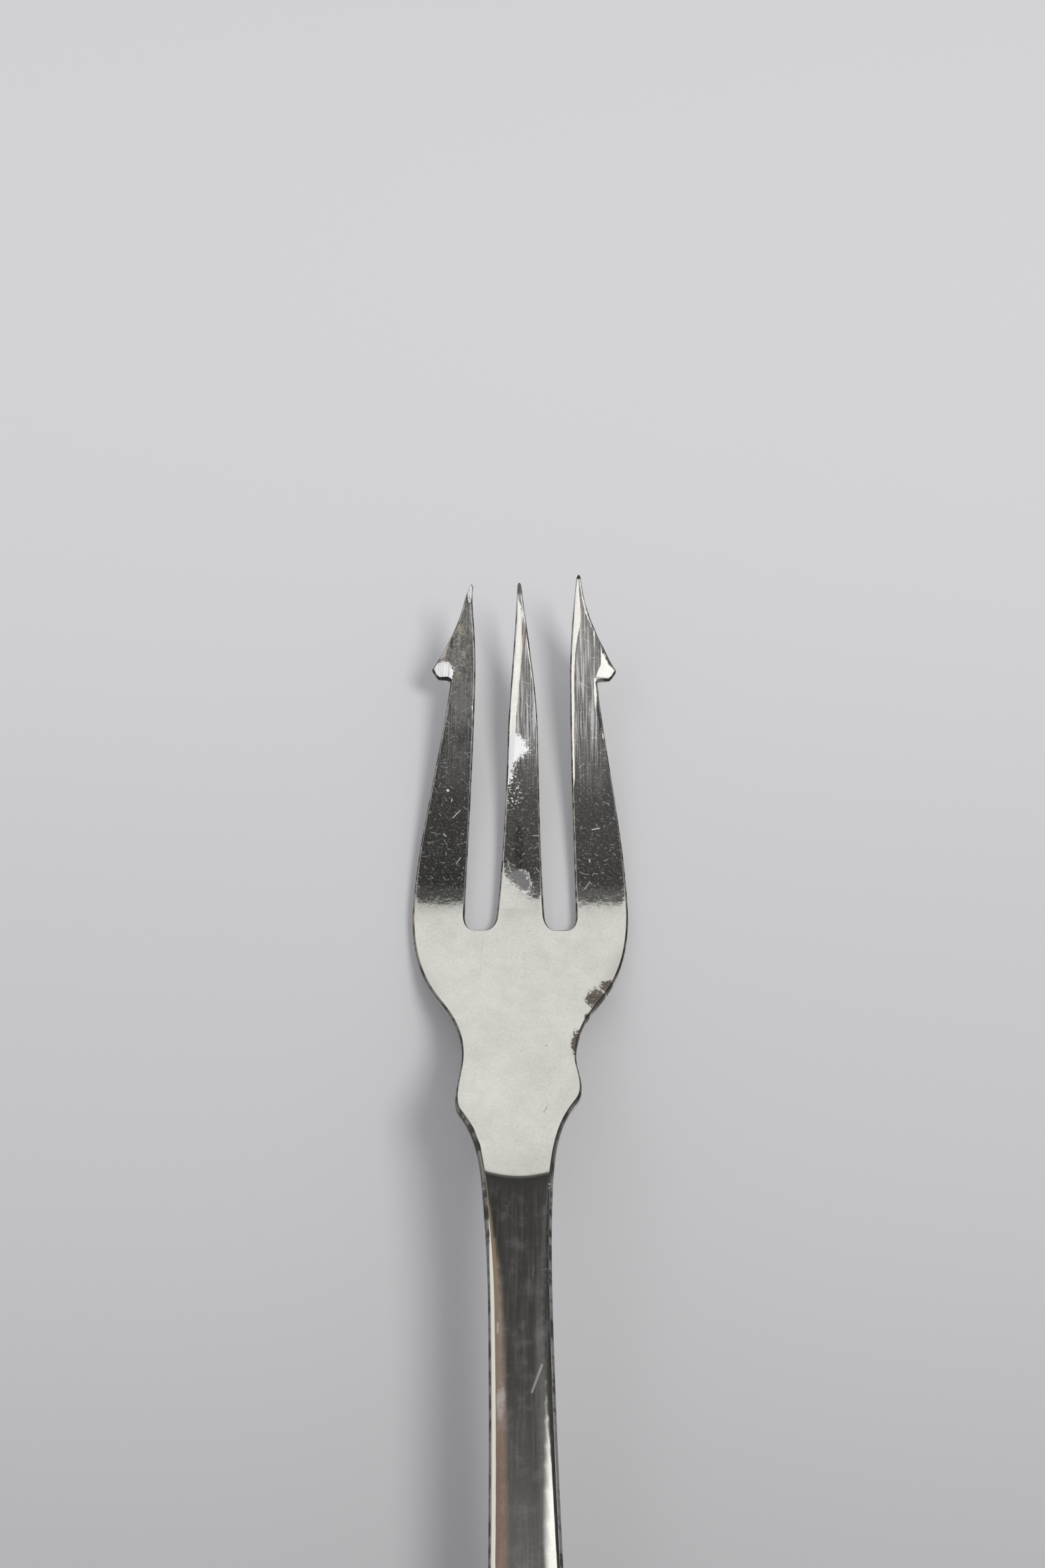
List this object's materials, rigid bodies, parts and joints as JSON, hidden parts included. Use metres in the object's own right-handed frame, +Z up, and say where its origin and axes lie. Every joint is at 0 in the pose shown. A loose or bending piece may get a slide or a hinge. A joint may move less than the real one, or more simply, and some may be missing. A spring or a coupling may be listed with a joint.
{
  "type": "pickle fork",
  "caption": "One-piece pickle fork: flat three-tined head with a barb outside each outer tine, waisted neck with a soft bead, and a long arched handle with a rounded flat end.",
  "frame": {"origin": "centre of the bounding box in plan, on the table the fork lies on", "axes": "+Y along the fork toward the tips of the tines, +X to the right as seen from above, +Z up from the table; the fork lies tines up"},
  "size_m": [0.0144, 0.148, 0.0082],
  "materials": {
    "silver": "polished silver plate, worn, with fine scratches and patches of dark patina"
  },
  "bodies": {
    "root": {"fork": "silver"}
  },
  "joints": []
}
